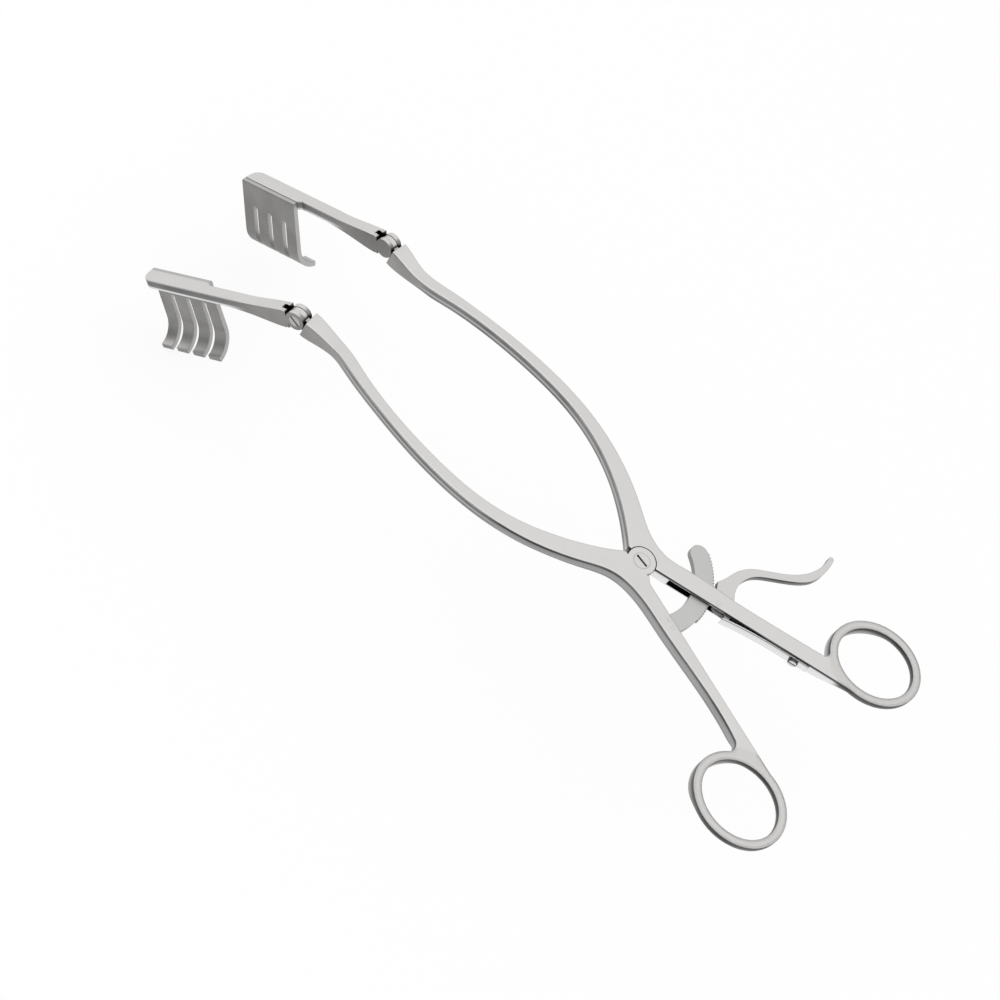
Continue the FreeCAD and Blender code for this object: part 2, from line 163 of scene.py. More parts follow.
def makeBeadGrain():
    # even matt grain of blasted steel: a fine height and a slow drift
    group, entry, leave = newGroup("beadGrain", {"Vector": (0, 0, 0), "Grain Size": 0.35},
                                   {"Height": 0.0, "Drift": 0.0})
    inMillimetres = vectorNode(group, "SCALE", entry["Vector"], 1.0 / mm, (-700, 100))
    perGrain = mathNode(group, "DIVIDE", 1.0, entry["Grain Size"], (-700, -100))
    sized = vectorNode(group, "SCALE", inMillimetres, perGrain, (-500, 0))
    fine = noiseNode(group, sized, 1.0, rough=0.6, place=(-250, 150))
    coarse = noiseNode(group, sized, grainPattern["coarseScale"], place=(-250, -50))
    slow = noiseNode(group, inMillimetres, grainPattern["driftScale"], place=(-250, -250))
    height = mathNode(group, "MULTIPLY_ADD", coarse, grainPattern["coarseShare"], (50, 50), third=fine)
    feed(group, leave["Height"], height)
    feed(group, leave["Drift"], slow)
    return group


def makeBrushLines():
    # straight polishing lines along the group's X axis
    group, entry, leave = newGroup(
        "brushLines", {"Vector": (0, 0, 0), "Line Width": 0.12, "Line Length": 9.0}, {"Height": 0.0})
    split = axesOf(group, entry["Vector"], (-700, 0))
    stretched = addNode(group, "ShaderNodeCombineXYZ", (-300, 0))
    for axis, size, level in (("X", "Line Length", 200), ("Y", "Line Width", 0), ("Z", "Line Width", -200)):
        share = mathNode(group, "DIVIDE", split[axis], entry[size], (-500, level))
        feed(group, stretched.inputs[axis], share)
    inMillimetres = vectorNode(group, "SCALE", stretched.outputs[0], 1.0 / mm, (-120, 0))
    lines = noiseNode(group, inMillimetres, 1.0, detail=2.5, rough=0.6, place=(80, 120))
    feed(group, leave["Height"], lines)
    return group


def makeTurnedRings():
    # circular tool marks about the group's Z axis
    group, entry, leave = newGroup("turnedRings", {"Vector": (0, 0, 0), "Ring Width": 0.16},
                                   {"Height": 0.0})
    flat = vectorNode(group, "MULTIPLY", entry["Vector"], (1.0 / mm, 1.0 / mm, 0.0), (-700, 0))
    distance = vectorNode(group, "LENGTH", flat, place=(-500, 0))
    turns = mathNode(group, "DIVIDE", distance, entry["Ring Width"], (-300, 0))
    angle = mathNode(group, "MULTIPLY", turns, 2 * pi, (-150, 0))
    wave = mathNode(group, "SINE", angle, place=(0, 0))
    feed(group, leave["Height"], mapRange(group, wave, -1.0, 1.0, place=(150, 0)))
    return group


wearPattern = {"samples": 6, "turnFrom": 0.01, "turnTo": 0.16,
               "patchScale": 420.0, "patchFrom": 0.35, "patchTo": 0.6}


def makeEdgeWear():
    # rubbed corners, where the rounded normal leaves the true one
    group, entry, leave = newGroup("edgeWear", {"Reach": 0.35 * mm, "Break Up": 0.35},
                                   {"Mask": 0.0, "Normal": (0, 0, 0)})
    soft = addNode(group, "ShaderNodeBevel", (-700, 150), samples=wearPattern["samples"])
    feed(group, soft.inputs["Radius"], entry["Reach"])
    true = addNode(group, "ShaderNodeNewGeometry", (-700, -100))
    alike = vectorNode(group, "DOT_PRODUCT", soft.outputs["Normal"], true.outputs["Normal"], (-450, 50))
    turned = mathNode(group, "SUBTRACT", 1.0, alike, (-250, 50))
    wear = mapRange(group, turned, wearPattern["turnFrom"], wearPattern["turnTo"], place=(-50, 50))
    coordinates = addNode(group, "ShaderNodeTexCoord", (-700, -350))
    cloud = noiseNode(group, coordinates.outputs["Object"], wearPattern["patchScale"],
                      detail=3.0, rough=0.6, place=(-450, -300))
    patches = mapRange(group, cloud, wearPattern["patchFrom"], wearPattern["patchTo"], place=(-250, -300))
    broken = mathNode(group, "MULTIPLY", patches, entry["Break Up"], (-50, -300))
    feed(group, leave["Mask"], mathNode(group, "SUBTRACT", wear, broken, (150, 0), clamp=True))
    feed(group, leave["Normal"], soft.outputs["Normal"])
    return group


def makeFacingShade():
    # 1 on faces across the Up direction, 0 on the walls along it; the walls then take a painted shade
    # colour
    group, entry, leave = newGroup("facingShade", {"Low": 0.55, "High": 0.95, "Up": (0, 0, 1)}, {"Level": 0.0})
    coordinates = addNode(group, "ShaderNodeTexCoord", (-700, 0))
    along = vectorNode(group, "DOT_PRODUCT", coordinates.outputs["Normal"], entry["Up"], (-500, 0))
    upright = mathNode(group, "ABSOLUTE", along, place=(-300, 0))
    feed(group, leave["Level"], mapRange(group, upright, entry["Low"], entry["High"]))
    return group


handlingPattern = {"smudgeScale": 38.0, "smudgeFrom": 0.42, "smudgeTo": 0.7,
                   "bendScale": 60.0, "bend": (4.0 * mm, 4.0 * mm, 4.0 * mm),
                   "hairScale": 120.0, "hairWidth": 0.012, "hairFrom": 0.55, "hairTo": 0.62}


def makeHandling():
    # faint smudges and hairline scratches from use and cleaning
    pattern = handlingPattern
    group, entry, leave = newGroup("handling", {"Vector": (0, 0, 0)}, {"Smudge": 0.0, "Scratch": 0.0})
    cloud = noiseNode(group, entry["Vector"], pattern["smudgeScale"],
                      detail=4.0, rough=0.6, place=(-500, 200))
    smudge = mapRange(group, cloud, pattern["smudgeFrom"], pattern["smudgeTo"], place=(-250, 200))
    feed(group, leave["Smudge"], smudge)
    sway = noiseNode(group, entry["Vector"], pattern["bendScale"], place=(-700, -150), output="Color")
    bent = vectorNode(group, "MULTIPLY_ADD", sway, pattern["bend"], (-500, -150), third=entry["Vector"])
    cells = addNode(group, "ShaderNodeTexVoronoi", (-300, -150), feature="DISTANCE_TO_EDGE")
    feed(group, cells.inputs["Scale"], pattern["hairScale"])
    feed(group, cells.inputs["Vector"], bent)
    hair = mapRange(group, cells.outputs["Distance"], 0.0, pattern["hairWidth"], 1.0, 0.0, (-100, -150))
    rare = mapRange(group, cloud, pattern["hairFrom"], pattern["hairTo"], place=(-100, 0))
    feed(group, leave["Scratch"], mathNode(group, "MULTIPLY", hair, rare, (100, -100)))
    return group


creviceShadePattern = {"samples": 8, "shutAt": 0.3, "openAt": 0.7}


def makeCreviceShade():
    # painted shade from ambient occlusion: 0 deep in slots and joints, 1 in the open
    group, entry, leave = newGroup("creviceShade", {"Reach": 3.0 * mm}, {"Open": 0.0})
    shade = addNode(group, "ShaderNodeAmbientOcclusion", (-500, 0), samples=creviceShadePattern["samples"])
    feed(group, shade.inputs["Distance"], entry["Reach"])
    opened = mapRange(group, shade.outputs["AO"], creviceShadePattern["shutAt"], creviceShadePattern["openAt"])
    feed(group, leave["Open"], opened)
    return group


# mm past the reach over which the ring's finish gives way to the handle's
ringFade = {"from": -0.5, "to": 1.5}


def makeNearRing():
    # 1 on the finger ring, 0 on the handle
    group, entry, leave = newGroup(
        "nearRing", {"Vector": (0, 0, 0), "Centre": (0, 0, 0), "Reach": 19.0 * mm}, {"Mask": 0.0})
    offset = vectorNode(group, "SUBTRACT", entry["Vector"], entry["Centre"], (-700, 0))
    distance = vectorNode(group, "LENGTH", offset, place=(-500, 0))
    past = mathNode(group, "SUBTRACT", distance, entry["Reach"], (-300, 0))
    mask = mapRange(group, past, ringFade["from"] * mm, ringFade["to"] * mm, 1.0, 0.0, (-100, 0))
    feed(group, leave["Mask"], mask)
    return group


upFacing = 0.8  # height of a normal that counts as looking up


def makeSlotShade():
    # 1 on faces that look up from inside the part, as in its slots, which get painted shade
    group, entry, leave = newGroup("slotShade", {"Below": 5.0 * mm, "From": 5.0 * mm}, {"Mask": 0.0})
    coordinates = addNode(group, "ShaderNodeTexCoord", (-700, 0))
    facing = axesOf(group, coordinates.outputs["Normal"], (-500, 100))
    spot = axesOf(group, coordinates.outputs["Object"], (-500, -100))
    up = mathNode(group, "GREATER_THAN", facing["Z"], upFacing, (-300, 100))
    low = mathNode(group, "LESS_THAN", spot["Z"], entry["Below"], (-300, -100))
    past = mathNode(group, "GREATER_THAN", spot["X"], entry["From"], (-300, -300))
    deep = mathNode(group, "MULTIPLY", up, low, (-100, 0))
    feed(group, leave["Mask"], mathNode(group, "MULTIPLY", deep, past, (100, 0)))
    return group


# painted reflections: light and dark lines on the upright walls, as (mm below the top edge, tone), over
# reflectionBandDepth mm
reflectionBandDepth = 8.0
wallReflectionLines = {
    "leftArch": [(0.0, 0.62), (0.4, 0.42), (0.9, 0.22), (1.6, 0.09), (2.1, 0.42), (2.6, 0.5),
                 (3.1, 0.18), (3.7, 0.3), (4.6, 0.55), (5.4, 0.6)],
    "rightArch": [(0.0, 0.62), (0.35, 0.36), (0.8, 0.17), (1.7, 0.13), (2.1, 0.25), (2.5, 0.52),
                  (2.9, 0.36), (3.2, 0.3), (3.6, 0.12), (5.2, 0.1)],
    "leftHandle": [(0.0, 0.3), (0.35, 0.03), (1.1, 0.04), (1.6, 0.3), (3.6, 0.36), (4.4, 0.24), (5.6, 0.5)],
    "rightHandle": [(0.0, 0.3), (0.45, 0.04), (0.95, 0.05), (1.35, 0.6), (1.8, 0.85), (5.6, 0.9)],
    "ring": [(0.0, 0.4), (0.3, 0.08), (0.9, 0.035), (1.7, 0.07), (2.5, 0.25), (3.4, 0.4), (4.6, 0.5)],
    "blade": [(0.0, 0.6), (0.4, 0.25), (0.8, 0.11), (2.0, 0.14), (2.6, 0.2), (2.85, 0.75),
              (3.4, 0.9), (4.0, 0.4)],
    "lever": [(0.0, 0.12), (0.2, 0.02), (0.8, 0.02), (1.3, 0.15), (2.6, 0.22)],
    "spring": [(0.0, 0.2), (0.2, 0.06), (0.6, 0.8), (3.6, 0.88)],
}


def makeWallReflectionBands(name, stops):
    # the painted reflection tone by how far a spot lies below the wall's top edge
    group, entry, leave = newGroup(name, {"Vector": (0, 0, 0), "Top": 0.0}, {"Tone": 0.0})
    height = axesOf(group, entry["Vector"], (-700, 0))["Z"]
    drop = mathNode(group, "SUBTRACT", entry["Top"], height, (-500, 0))
    share = mathNode(group, "DIVIDE", drop, reflectionBandDepth * mm, (-300, 0), clamp=True)
    ramp = addNode(group, "ShaderNodeValToRGB", (-100, 0))
    ramp.color_ramp.interpolation = "EASE"
    points = ramp.color_ramp.elements
    while len(points) < len(stops):
        points.new(1.0)
    for point, (below, tone) in zip(points, stops):
        point.position = below / reflectionBandDepth
        point.color = (tone, tone, tone, 1)
    feed(group, ramp.inputs["Fac"], share)
    feed(group, leave["Tone"], ramp.outputs["Color"])
    return group


beadGrain = makeBeadGrain()
brushLines = makeBrushLines()
turnedRings = makeTurnedRings()
edgeWear = makeEdgeWear()
facingShade = makeFacingShade()
handling = makeHandling()
creviceShade = makeCreviceShade()
nearRing = makeNearRing()
slotShade = makeSlotShade()
wallReflectionBands = {name: makeWallReflectionBands(name + "ReflectionBands", stops) for name, stops in wallReflectionLines.items()}
print("surface effects made")


def patternHeight(tree, look, turned, grain):
    # polishing lines or turned rings over the grain
    if look["lineWidth"]:
        group, share = brushLines, look["lineShare"]
        values = {"Line Width": look["lineWidth"], "Line Length": look["lineLength"]}
    elif look["ringWidth"]:
        group, share = turnedRings, look["ringShare"]
        values = {"Ring Width": look["ringWidth"]}
    else:
        return grain
    pattern = useGroup(tree, group, dict(values, Vector=turned), (-700, -200))
    return mathNode(tree, "MULTIPLY_ADD", pattern["Height"], share, (-450, -150), third=grain)


def surfaceParts(tree, look, centre, turn):
    # the places, masks and heights that the colour, the roughness and the normal share
    spot = addNode(tree, "ShaderNodeTexCoord", (-1300, 0)).outputs["Object"]
    mapping = addNode(tree, "ShaderNodeMapping", (-1100, 0), vector_type="TEXTURE")
    feed(tree, mapping.inputs["Vector"], spot)
    feed(tree, mapping.inputs["Location"], centre)
    feed(tree, mapping.inputs["Rotation"], [radians(angle) for angle in turn])
    turned = mapping.outputs["Vector"]
    ring, cornerRound, wearShare = None, look["cornerRound"], look["wearShare"]
    if look["ringCentre"]:
        # the finger ring is dressed round, unlike the flat arm
        ring = useGroup(tree, nearRing, {"Vector": spot, "Centre": look["ringCentre"],
                                         "Reach": look["ringReach"]}, (-1100, 500))["Mask"]
        wearShare = mapRange(tree, ring, 0.0, 1.0, wearShare, 0.0, (-900, 650))
        cornerRound = mapRange(tree, ring, 0.0, 1.0, cornerRound, look["ringRound"], (-900, 500))
    wear = useGroup(tree, edgeWear, {"Reach": cornerRound, "Break Up": look["wearBreakUp"]}, (-700, 500))
    marks = useGroup(tree, handling, {"Vector": spot}, (-700, -450))
    grain = useGroup(tree, beadGrain, {"Vector": spot, "Grain Size": look["grainSize"]}, (-700, 0))
    return {"spot": spot, "turned": turned, "ring": ring,
            "corner": wear["Mask"], "roundNormal": wear["Normal"],
            "worn": mathNode(tree, "MULTIPLY", wear["Mask"], wearShare, (-400, 550)),
            "smudged": mathNode(tree, "MULTIPLY", marks["Smudge"], look["smudgeShare"], (-400, -400)),
            "scratch": marks["Scratch"], "drift": grain["Drift"],
            "height": patternHeight(tree, look, turned, grain["Height"])}


def paintedWallTone(tree, look, parts):
    # the walls' painted shade colour, then each set of painted reflection lines from its place along the
    # piece
    tone = look["wallShadeColour"]
    for number, (lines, start, full) in enumerate(look["reflectionBands"]):
        spot = parts["turned"] if look["tilted"] else parts["spot"]
        strip = useGroup(tree, wallReflectionBands[lines], {"Vector": spot, "Top": look["wallTop"]},
                         (-1100, 700 - 200 * number))
        along = axesOf(tree, parts["spot"], (-1100, 900))["X"]
        share = mapRange(tree, along, start * mm, full * mm, place=(-900, 900))
        tone = mixColour(tree, share, tone, strip["Tone"], (-700, 800))
    # painted reflection lines on the finger ring's walls
    if parts["ring"] is not None:
        strip = useGroup(tree, wallReflectionBands["ring"], {"Vector": parts["spot"], "Top": look["wallTop"]},
                         (-1100, 1100))
        tone = mixColour(tree, parts["ring"], tone, strip["Tone"], (-600, 1000))
    return tone


def ringAndSlotShade(tree, look, parts, base):
    # painted shade: the ring is darkened all over and more towards its rims so it looks round, and the
    # arm's slots are painted dark inside
    rim = mapRange(tree, parts["corner"], 0.0, 1.0, look["ringShade"], look["rimShade"], (150, 600))
    shade = mathNode(tree, "MULTIPLY", parts["ring"], rim, (350, 450))
    base = mixColour(tree, shade, base, black, (450, 300))
    inside = useGroup(tree, slotShade, {"Below": look["slotBelow"]}, (350, 700))["Mask"]
    return mixColour(tree, inside, base, look["creviceShadeColour"], (520, 300))


def steelColour(tree, look, parts):
    # painted shade: the upright walls take the darker wall colour, the faces across the Up direction the
    # face colour
    level = useGroup(tree, facingShade, {"Low": look["wallLimit"], "High": look["faceLimit"],
                                      "Up": look["up"]}, (-700, 250))["Level"]
    base = mixColour(tree, level, paintedWallTone(tree, look, parts), look["faceColour"], (-400, 350))
    drift = mapRange(tree, parts["drift"], *look["driftRange"], 0.0, look["driftShare"], (-450, 80))
    base = mixColour(tree, drift, base, look["driftColour"], (-150, 300))
    base = mixColour(tree, parts["smudged"], base, look["smudgeColour"], (100, 300))
    base = mixColour(tree, parts["worn"], base, look["wearColour"], (350, 300))
    if parts["ring"] is not None:
        base = ringAndSlotShade(tree, look, parts, base)
    # painted shade: slots and joints darken towards the shade colour
    opened = useGroup(tree, creviceShade, {"Reach": look["creviceShadeReach"]}, (350, 550))["Open"]
    return mixColour(tree, opened, look["creviceShadeColour"], base, (600, 300))


def steelRoughness(tree, look, parts):
    # the height speckles it, rubbed corners shine and smudges are duller
    speckle = mapRange(tree, parts["height"], *look["heightRange"], look["roughness"] - look["roughSpread"],
                       look["roughness"] + look["roughSpread"], (-150, 50))
    rubbed = mathNode(tree, "MULTIPLY_ADD", parts["worn"], -look["wearGloss"], (50, 50), third=speckle)
    return mathNode(tree, "MULTIPLY_ADD", parts["smudged"], look["smudgeDulling"], (450, 50),
                    third=rubbed, clamp=True)


def steelNormal(tree, look, parts):
    scratched = mathNode(tree, "MULTIPLY_ADD", parts["scratch"], -look["scratchDepth"], (-150, -300),
                         third=parts["height"])
    bump = addNode(tree, "ShaderNodeBump", (600, -250))
    feed(tree, bump.inputs["Strength"], look["bumpStrength"])
    feed(tree, bump.inputs["Distance"], look["bumpDepth"])
    feed(tree, bump.inputs["Height"], scratched)
    feed(tree, bump.inputs["Normal"], parts["roundNormal"])
    return bump.outputs["Normal"]


# one steel finish: ground top faces, upright walls darkened with painted shade and painted reflection
# lines, grain, wear and handling marks
def steelFinish(name, look, centre=(0, 0, 0), turn=(0, 0, 0)):
    material, tree = newMaterial(name)
    shader = tree.nodes["Principled BSDF"]
    shader.location = (900, 0)
    parts = surfaceParts(tree, look, centre, turn)
    feed(tree, shader.inputs["Metallic"], 1.0)
    feed(tree, shader.inputs["Base Color"], steelColour(tree, look, parts))
    feed(tree, shader.inputs["Roughness"], steelRoughness(tree, look, parts))
    feed(tree, shader.inputs["Normal"], steelNormal(tree, look, parts))
    return material


# the blade hinges: their place in mm, and in degrees how the arms' ends turn in and each blade hangs down
hinge = {"x": -145.0, "y": 25.3, "z": 3.3, "yaw": 5.4, "leftSwing": 37.5, "rightSwing": 30.0}
bladeRise = 2.8  # mm from the hinge's centre up to the blade arm's top face


# side is 1 for the right blade and -1 for the left one
def bladeSwing(side):
    return hinge["rightSwing"] if side > 0 else hinge["leftSwing"]


def hingeMatrix(side):
    place = Matrix.Translation(Vector((hinge["x"], hinge["y"], hinge["z"])) * mm)
    place = place @ Matrix.Rotation(radians(180 - hinge["yaw"]), 4, "Z")
    place = place @ Matrix.Rotation(radians(bladeSwing(side)), 4, "Y")
    return place if side > 0 else Matrix.Scale(-1, 4, Vector((0, 1, 0))) @ place


def bladeWay(side, axis):
    # one of the blade's own directions in the frame
    return tuple((hingeMatrix(side).to_3x3() @ Vector(axis)).normalized())


def bladeTurn(side):
    # the blade's own directions as turns for a pattern
    return (0, bladeSwing(side), (180 - hinge["yaw"]) * side)


def bladeTop(side):
    # height of a blade arm's top face along the blade's own up direction
    return Vector(bladeWay(side, (0, 0, 1))).dot(hingeMatrix(side).translation) + bladeRise * mm


def hingeScrewPlace(side):
    return (hinge["x"] * mm, side * hinge["y"] * mm, hinge["z"] * mm)


# the satin steel that every look starts from, with lengths in metres, widths of grain and lines in mm,
# and each band of painted reflection lines as (its lines, where they fade in, where they are full) in mm
# along X
satinLook = {"up": (0, 0, 1), "faceColour": (0.645, 0.635, 0.62), "faceLimit": 0.9,
             "wallShadeColour": (0.30, 0.295, 0.29), "wallLimit": 0.35, "reflectionBands": [], "tilted": False,
             "driftColour": (0.60, 0.60, 0.60), "driftShare": 0.16, "driftRange": (0.3, 0.7),
             "smudgeColour": (0.55, 0.545, 0.54), "smudgeShare": 0.16, "smudgeDulling": 0.10,
             "wearColour": (0.30, 0.30, 0.30), "wearShare": 0.6, "wearBreakUp": 0.35, "wearGloss": 0.12,
             "creviceShadeColour": (0.012, 0.012, 0.012), "creviceShadeReach": 3.0 * mm, "cornerRound": 0.35 * mm,
             "grainSize": 0.34, "heightRange": (0.3, 1.0), "roughness": 0.34, "roughSpread": 0.06,
             "lineWidth": 0.16, "lineLength": 14.0, "lineShare": 0.35, "ringWidth": None,
             "scratchDepth": 0.5, "bumpStrength": 0.22, "bumpDepth": 0.03 * mm, "ringCentre": None}
wholePiece = (-60, -59)  # lines that are full before the piece starts

leftArmLook = dict(satinLook, wallTop=5.8 * mm, reflectionBands=[("leftArch", -126, -116), ("leftHandle", -56, -40)],
                   ringCentre=(80.2 * mm, -43.7 * mm, 4.1 * mm), ringReach=18.5 * mm, ringRound=2.2 * mm,
                   ringShade=0.08, rimShade=0.6, slotBelow=5.0 * mm)
rightArmLook = dict(leftArmLook, reflectionBands=[("rightArch", -129, -120), ("rightHandle", -14, 4)],
                    ringCentre=(85.0 * mm, 39.6 * mm, 4.1 * mm))
leverLook = dict(satinLook, faceColour=(0.62, 0.61, 0.60), wallShadeColour=(0.34, 0.335, 0.33), grainSize=0.3,
                 wallTop=4.2 * mm, reflectionBands=[("lever", *wholePiece)])
rackLook = dict(satinLook, faceColour=(0.52, 0.515, 0.51), wallShadeColour=(0.26, 0.26, 0.26), roughness=0.38,
                lineWidth=0.2, lineLength=6.0, lineShare=0.6)
springLook = dict(satinLook, faceColour=(0.74, 0.74, 0.74), wallShadeColour=(0.56, 0.56, 0.56), roughness=0.22,
                  lineWidth=0.1, lineLength=20.0, lineShare=1.2, wallTop=4.7 * mm,
                  reflectionBands=[("spring", *wholePiece)])
screwLook = dict(satinLook, faceColour=(0.63, 0.625, 0.61), wallShadeColour=(0.36, 0.36, 0.355), roughness=0.30,
                 ringWidth=0.22, ringShare=0.2, lineWidth=None, wearShare=0.15, creviceShadeReach=1.0 * mm)
flushLook = dict(screwLook, cornerRound=0.05 * mm, wearShare=0.0)
# the spring's screw faces out of the handle's wall; its upright sides are painted near black as shade
springScrewLook = dict(screwLook, up=(0.262, -0.965, 0), wallLimit=0.75, faceLimit=0.97, ringWidth=None,
                       faceColour=(0.7, 0.7, 0.7), wallShadeColour=(0.05, 0.05, 0.05))
# the braze bead's pale colour, lighter than the steel, is partly a painted highlight along the joint
seamHighlightLook = dict(satinLook, faceColour=(0.82, 0.80, 0.77), wallShadeColour=(0.82, 0.80, 0.77), roughness=0.30,
                lineWidth=None, creviceShadeReach=0.4 * mm, wearShare=0.0)
bladeLooks = {}
plateLooks = {}
hingeScrewLooks = {}
# painted shade: the blade arms' walls, the plates' broad faces and the hinge screws, most of all their
# sides, get darker colours
for side in (1, -1):
    bladeLooks[side] = dict(satinLook, up=bladeWay(side, (0, 0, 1)), wallShadeColour=(0.22, 0.215, 0.21),
                            wallLimit=0.5, wallTop=bladeTop(side), reflectionBands=[("blade", -161, -170)],
                            tilted=True)
    plateLooks[side] = dict(satinLook, up=bladeWay(side, (0, 1, 0)), faceColour=(0.215, 0.21, 0.205),
                            faceLimit=0.6, wallShadeColour=(0.45, 0.445, 0.44), wallLimit=0.25, grainSize=0.3,
                            lineWidth=0.14, lineLength=10.0, lineShare=0.8)
    hingeScrewLooks[side] = dict(screwLook, up=bladeWay(side, (0, 1, 0)), faceColour=(0.45, 0.445, 0.44),
                                 wallShadeColour=(0.15, 0.15, 0.15), wearShare=0.4)

lineTurn = {"arm": 17, "rack": 15, "spring": 15, "lever": 60}  # degrees about Z of the polishing lines
plateTurn = (0, 90, 0)  # the plates' lines run up and down
leverPin = {"x": 29.9, "y": 9.9}  # mm

finishes = {
    "left_frame_arm": steelFinish("satinArmLeft", leftArmLook, turn=(0, 0, lineTurn["arm"])),
    "right_frame_arm": steelFinish("satinArmRight", rightArmLook, turn=(0, 0, -lineTurn["arm"])),
    "pivot_screw": steelFinish("turnedPivotScrew", dict(screwLook, cornerRound=0.1 * mm)),
    "ratchet_rack": steelFinish("satinRack", rackLook, turn=(0, 0, lineTurn["rack"])),
    "rack_rivets": steelFinish("rivetSteel", dict(flushLook, ringWidth=None)),
    "release_lever": steelFinish("satinLever", leverLook, turn=(0, 0, lineTurn["lever"])),
    "lever_pin": steelFinish("pinSteel", flushLook, centre=(leverPin["x"] * mm, leverPin["y"] * mm, 0)),
    "leaf_spring": steelFinish("springStrip", springLook, turn=(0, 0, lineTurn["spring"])),
    "spring_screw": steelFinish("springScrewSteel", springScrewLook),
    "left_blade_arm": steelFinish("satinBladeArmLeft", bladeLooks[-1], turn=bladeTurn(-1)),
    "right_blade_arm": steelFinish("satinBladeArmRight", bladeLooks[1], turn=bladeTurn(1)),
    "left_prong_plate": steelFinish("satinPlateLeft", plateLooks[-1], turn=plateTurn),
    "right_prong_plate": steelFinish("satinPlateRight", plateLooks[1], turn=plateTurn),
    "left_hinge_screw": steelFinish("hingeScrewLeft", hingeScrewLooks[-1], hingeScrewPlace(-1),
                                    (90, 0, -hinge["yaw"])),
    "right_hinge_screw": steelFinish("hingeScrewRight", hingeScrewLooks[1], hingeScrewPlace(1),
                                     (90, 0, hinge["yaw"])),
}
for nodeName, finish in finishes.items():
    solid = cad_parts[nodeName]
    for slot in solid.material_slots:
        slot.material = finish
print("finishes on", len(finishes), "nodes")

# the thin bead of braze along the corner between each blade arm and its prong plate, in mm from the hinge
braze = {"from": 44.0, "to": 68.6, "across": 3.7, "height": -0.7, "radius": 0.45, "sides": 16, "cuts": 60,
         "ripple": 0.05, "rippleRates": (2.9, 1.3), "rippleShift": 0.6, "endLength": 0.8, "endSize": 0.35}


def brazeBead(side, name, body):
    shape = bmesh.new()
    length = braze["to"] - braze["from"]
    bmesh.ops.create_cone(shape, cap_ends=True, segments=braze["sides"], radius1=braze["radius"],
                          radius2=braze["radius"], depth=length)
    longEdges = [edge for edge in shape.edges if abs(edge.verts[0].co.z - edge.verts[1].co.z) > length / 2]
    bmesh.ops.subdivide_edges(shape, edges=longEdges, cuts=braze["cuts"])
    fastRate, slowRate = braze["rippleRates"]
    for vert in shape.verts:
        along = vert.co.z
        ripple = 1 + braze["ripple"] * sin(along * fastRate) * sin(along * slowRate + braze["rippleShift"])
        taper = min(1.0, (length / 2 - abs(along)) / braze["endLength"] + braze["endSize"])
        vert.co.x *= ripple * taper
        vert.co.y *= ripple * taper
    bmesh.ops.rotate(shape, verts=shape.verts, cent=(0, 0, 0), matrix=Matrix.Rotation(pi / 2, 3, "Y"))
    middle = Vector(((braze["from"] + braze["to"]) / 2, braze["across"], braze["height"]))
    bmesh.ops.translate(shape, verts=shape.verts, vec=middle)
    bmesh.ops.scale(shape, verts=shape.verts, vec=(mm, mm, mm))
    bmesh.ops.transform(shape, matrix=hingeMatrix(side), verts=shape.verts)
    bmesh.ops.recalc_face_normals(shape, faces=shape.faces)
    bead = addShape(name, shape)
    for face in bead.data.polygons:
        face.use_smooth = True
    bead.data.materials.append(brazeHighlightFinish)
    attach(bead, body)


# pale braze, partly a painted highlight
brazeHighlightFinish = steelFinish("brazeBead", seamHighlightLook)
brazeBead(1, "rightBrazeBead", "right_blade")
brazeBead(-1, "leftBrazeBead", "left_blade")
print("braze beads laid")

# studio in metres: pale floor under the prongs, white surroundings, lamps as (name, place, size, watts)
studio = {"floorDrop": 0.5 * mm, "floorSize": 3.0, "floorAlbedo": 0.9, "floorGlow": 0.85,
          "skyForLight": 1.0, "skySeen": 1.0,
          "flagRadius": 0.9, "flagHeight": 0.22, "flagTone": 0.05, "flagRoughness": 0.9, "flagSides": 64,
          "flagArcs": [(-150, -30), (50, 95)],
          "lamps": [("overheadSoftbox", (0.10, 0.10, 1.10), 1.0, 0.7),
                    ("frontStrip", (-0.15, -0.75, 0.75), 0.35, 0.5),
                    ("leftFill", (-0.9, 0.1, 0.55), 0.6, 0.4)]}
floorHeight = cadBox[0][2] - studio["floorDrop"]


def backdropMask(tree, place):
    # rays that show the background: from the camera, mirrored and transmitted
    left, level = place
    path = addNode(tree, "ShaderNodeLightPath", place).outputs
    seen = mathNode(tree, "ADD", path["Is Camera Ray"], path["Is Glossy Ray"], (left + 200, level))
    return mathNode(tree, "ADD", seen, path["Is Transmission Ray"], (left + 400, level), clamp=True)


def makeFloor():
    sheet = bmesh.new()
    bmesh.ops.create_grid(sheet, x_segments=1, y_segments=1, size=studio["floorSize"])
    floor = addShape("studioFloor", sheet)
    floor.location = (0, 0, floorHeight)
    material, tree = newMaterial("paleFloor")
    tree.nodes.clear()
    matt = addNode(tree, "ShaderNodeBsdfDiffuse", (0, 100))
    feed(tree, matt.inputs["Color"], (*[studio["floorAlbedo"]] * 3, 1))
    glow = addNode(tree, "ShaderNodeEmission", (0, -100))
    feed(tree, glow.inputs["Color"], (*white, 1))
    feed(tree, glow.inputs["Strength"], 1.0)
    share = mathNode(tree, "MULTIPLY", backdropMask(tree, (-700, 0)), studio["floorGlow"], (-150, 0))
    mix = addNode(tree, "ShaderNodeMixShader", (400, 0))
    for socket, value in zip(mix.inputs, (share, matt.outputs[0], glow.outputs[0])):
        feed(tree, socket, value)
    leave = addNode(tree, "ShaderNodeOutputMaterial", (800, 0))
    feed(tree, leave.inputs["Surface"], mix.outputs[0])
    floor.data.materials.append(material)


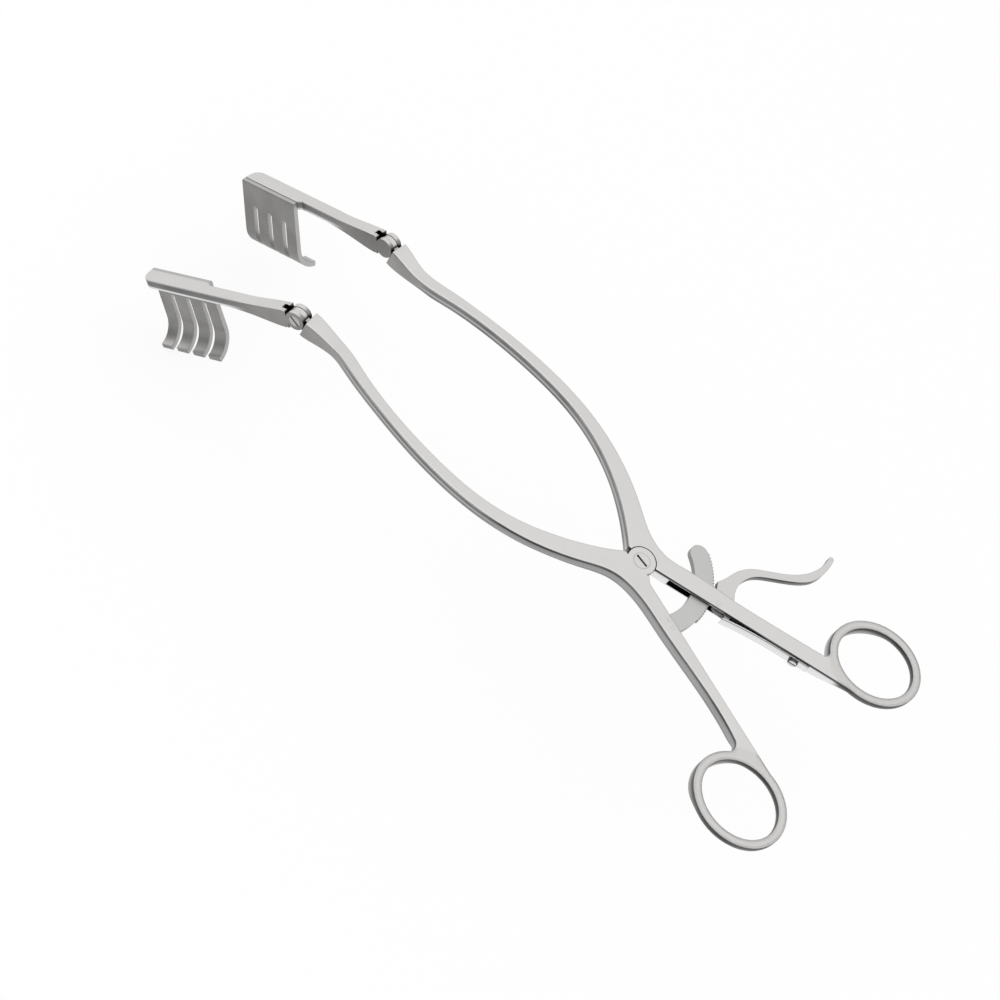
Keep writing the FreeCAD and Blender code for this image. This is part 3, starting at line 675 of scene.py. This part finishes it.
def makeFlag():
    # dark cards near the horizon in front and behind, shown only in the steel's reflections
    ring = bmesh.new()
    bmesh.ops.create_cone(ring, cap_ends=False, segments=studio["flagSides"], radius1=studio["flagRadius"],
                          radius2=studio["flagRadius"], depth=studio["flagHeight"])
    spare = []
    for face in ring.faces:
        middle = face.calc_center_median()
        turn = degrees(atan2(middle.y, middle.x))
        if not any(low < turn < high for low, high in studio["flagArcs"]):
            spare.append(face)
    bmesh.ops.delete(ring, geom=spare, context="FACES")
    flag = addShape("horizonFlag", ring)
    flag.location = (0, 0, floorHeight + studio["flagHeight"] / 2)
    material, tree = newMaterial("darkFlag")
    cloth = tree.nodes["Principled BSDF"]
    feed(tree, cloth.inputs["Base Color"], (*[studio["flagTone"]] * 3, 1))
    feed(tree, cloth.inputs["Roughness"], studio["flagRoughness"])
    flag.data.materials.append(material)
    flag.visible_camera = False
    flag.visible_diffuse = False
    flag.visible_shadow = False


def makeSky():
    world = bpy.data.worlds.new("studioSky")
    bpy.context.scene.world = world
    world.use_nodes = True
    tree = world.node_tree
    tree.nodes.clear()
    strength = mapRange(tree, backdropMask(tree, (-600, 0)), 0.0, 1.0, studio["skyForLight"],
                        studio["skySeen"], (50, 0), kind="LINEAR")
    back = addNode(tree, "ShaderNodeBackground", (300, 0))
    feed(tree, back.inputs["Color"], (*white, 1))
    feed(tree, back.inputs["Strength"], strength)
    leave = addNode(tree, "ShaderNodeOutputWorld", (600, 0))
    feed(tree, leave.inputs["Surface"], back.outputs[0])


def makeLamps():
    for name, place, size, power in studio["lamps"]:
        lamp = bpy.data.lights.new(name, "AREA")
        lamp.shape = "SQUARE"
        lamp.size = size
        lamp.energy = power
        holder = addObject(name, lamp)
        holder.location = place
        holder.rotation_euler = (-Vector(place)).to_track_quat("-Z", "Y").to_euler()


# camera placed so that the outlines of both arms fall where the photo has them: mm and degrees
viewpoint = {"place": (14.0049, -528.0939, 705.5276), "turn": (29.74523, -21.28575, 39.62062),
             "lens": 89.9618, "sensor": 36.0, "nearest": 50.0, "farthest": 20000.0}


def makeCamera():
    camera = bpy.data.cameras.new("photoCamera")
    camera.sensor_width = viewpoint["sensor"]
    camera.lens = viewpoint["lens"]
    camera.clip_start = viewpoint["nearest"] * mm
    camera.clip_end = viewpoint["farthest"] * mm
    holder = addObject("photoCamera", camera)
    holder.location = Vector(viewpoint["place"]) * mm
    holder.rotation_euler = [radians(angle) for angle in viewpoint["turn"]]
    bpy.context.scene.camera = holder


makeFloor()
makeFlag()
makeSky()
makeLamps()
makeCamera()
bpy.context.scene.view_settings.view_transform = "Standard"
print("studio ready")
